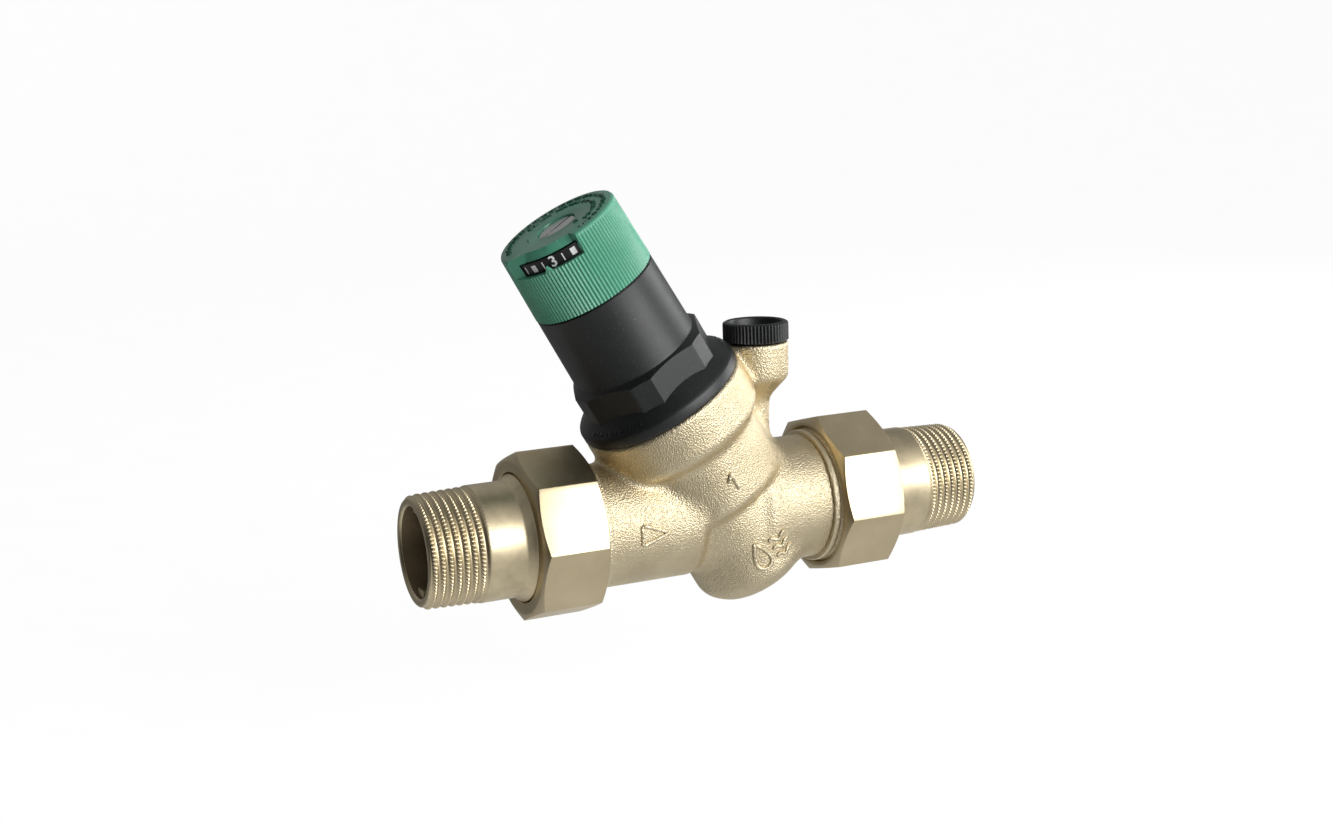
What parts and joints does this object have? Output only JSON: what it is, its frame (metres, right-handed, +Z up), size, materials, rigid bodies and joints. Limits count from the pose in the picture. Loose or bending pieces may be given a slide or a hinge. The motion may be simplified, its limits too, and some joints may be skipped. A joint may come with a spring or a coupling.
{
  "type": "water pressure regulator",
  "caption": "In-line pressure reducing valve: cast brass Y body, threaded union ends, slanted black spring bonnet, green dial knob, capped gauge port.",
  "frame": {"origin": "centre of the inlet pipe end's face, on the pipe axis", "axes": "+X along the pipe with the flow, +Z up; the bonnet leans 30 degrees from +Z towards -X"},
  "size_m": [0.178, 0.0512, 0.1253],
  "materials": {
    "cast_brass": "shot-blasted, pale",
    "turned_brass": "turned, satin",
    "nut_brass": "milled flats, satin",
    "fibre_gasket": "matt",
    "black_plastic": "glass-filled, fine grain",
    "scale_plastic": "matt with white marks",
    "green_plastic": "satin moulded",
    "ivory_plastic": "moulded",
    "steel": "machined",
    "zinc_steel": "zinc plated",
    "spring_steel": "oiled",
    "rubber": "matt"
  },
  "bodies": {
    "housing": {"valve_body": "cast_brass", "inlet_tailpiece": "turned_brass", "outlet_tailpiece": "turned_brass", "inlet_gasket": "fibre_gasket", "outlet_gasket": "fibre_gasket", "spring_bonnet": "black_plastic", "slip_ring": "steel", "adjusting_spring": "spring_steel", "thrust_washer": "turned_brass", "diaphragm": "rubber", "insert_cage": "ivory_plastic", "insert_oring_upper": "rubber", "insert_oring_lower": "rubber", "strainer_sleeve": "steel", "seat_ring": "steel"},
    "inlet_nut": {"inlet_union_nut": "nut_brass"},
    "outlet_nut": {"outlet_union_nut": "nut_brass"},
    "knob": {"adjusting_knob": "green_plastic", "adjusting_spindle": "steel"},
    "scale": {"scale_ring": "scale_plastic"},
    "pinion": {"scale_pinion": "ivory_plastic"},
    "knob_screw": {"lock_screw": "zinc_steel"},
    "follower": {"spring_plate": "turned_brass"},
    "valve_group": {"valve_stem": "turned_brass", "piston_oring": "rubber", "diaphragm_plate": "steel", "stem_nut": "steel", "valve_disc": "turned_brass", "disc_seal": "rubber", "disc_nut": "steel"},
    "plug_seal": {"gauge_plug_oring": "rubber"},
    "plug": {"gauge_plug": "black_plastic"}
  },
  "joints": [
    {"name": "inlet_nut_turn", "type": "hinge", "parent": "housing", "child": "inlet_nut", "pos_m": [0.0407, 0, 0], "axis": [1, 0, 0], "continuous": true},
    {"name": "outlet_nut_turn", "type": "hinge", "parent": "housing", "child": "outlet_nut", "pos_m": [0.1373, 0, 0], "axis": [1, 0, 0], "continuous": true},
    {"name": "knob_turn", "type": "hinge", "parent": "housing", "child": "knob", "pos_m": [0.0985, 0, 0], "axis": [0.5, 0, -0.866], "range_deg": [-146, 340]},
    {"name": "spring_plate_slide", "type": "slide", "parent": "housing", "child": "follower", "axis": [0.5, 0, -0.866], "range_m": [-0.00125, 0.00287], "deforming": ["adjusting_spring"]},
    {"name": "scale_turn", "type": "hinge", "parent": "knob", "child": "scale", "pos_m": [0.0985, 0, 0], "axis": [0.5, 0, -0.866], "range_deg": [-61, 142]},
    {"name": "pinion_turn", "type": "hinge", "parent": "knob", "child": "pinion", "pos_m": [0.10418, 0.00781, 0.00328], "axis": [0.5, 0, -0.866], "range_deg": [-209, 486]},
    {"name": "lock_screw_turn", "type": "hinge", "parent": "knob", "child": "knob_screw", "pos_m": [0.0985, 0, 0], "axis": [-0.5, 0, 0.866], "range_deg": [0, 360]},
    {"name": "valve_slide", "type": "slide", "parent": "housing", "child": "valve_group", "axis": [-0.5, 0, 0.866], "range_m": [0, 0.0034], "stiffness_N_per_m": 2000, "springref_m": -0.002, "deforming": ["adjusting_spring", "diaphragm"]},
    {"name": "plug_lift", "type": "slide", "parent": "housing", "child": "plug_seal", "axis": [0, 0, 1], "range_m": [0, 0.0114]},
    {"name": "plug_turn", "type": "hinge", "parent": "plug_seal", "child": "plug", "pos_m": [0.1099, 0, 0.05], "axis": [0, 0, 1], "range_deg": [0, 3060]}
  ],
  "couplings": [
    {"joint": "spring_plate_slide", "follows": "knob_turn", "m_per_rad": 0.00047746},
    {"joint": "scale_turn", "follows": "knob_turn", "ratio": 0.41667},
    {"joint": "pinion_turn", "follows": "knob_turn", "ratio": 1.4286},
    {"joint": "plug_lift", "follows": "plug_turn", "m_per_rad": 0.00021279}
  ]
}
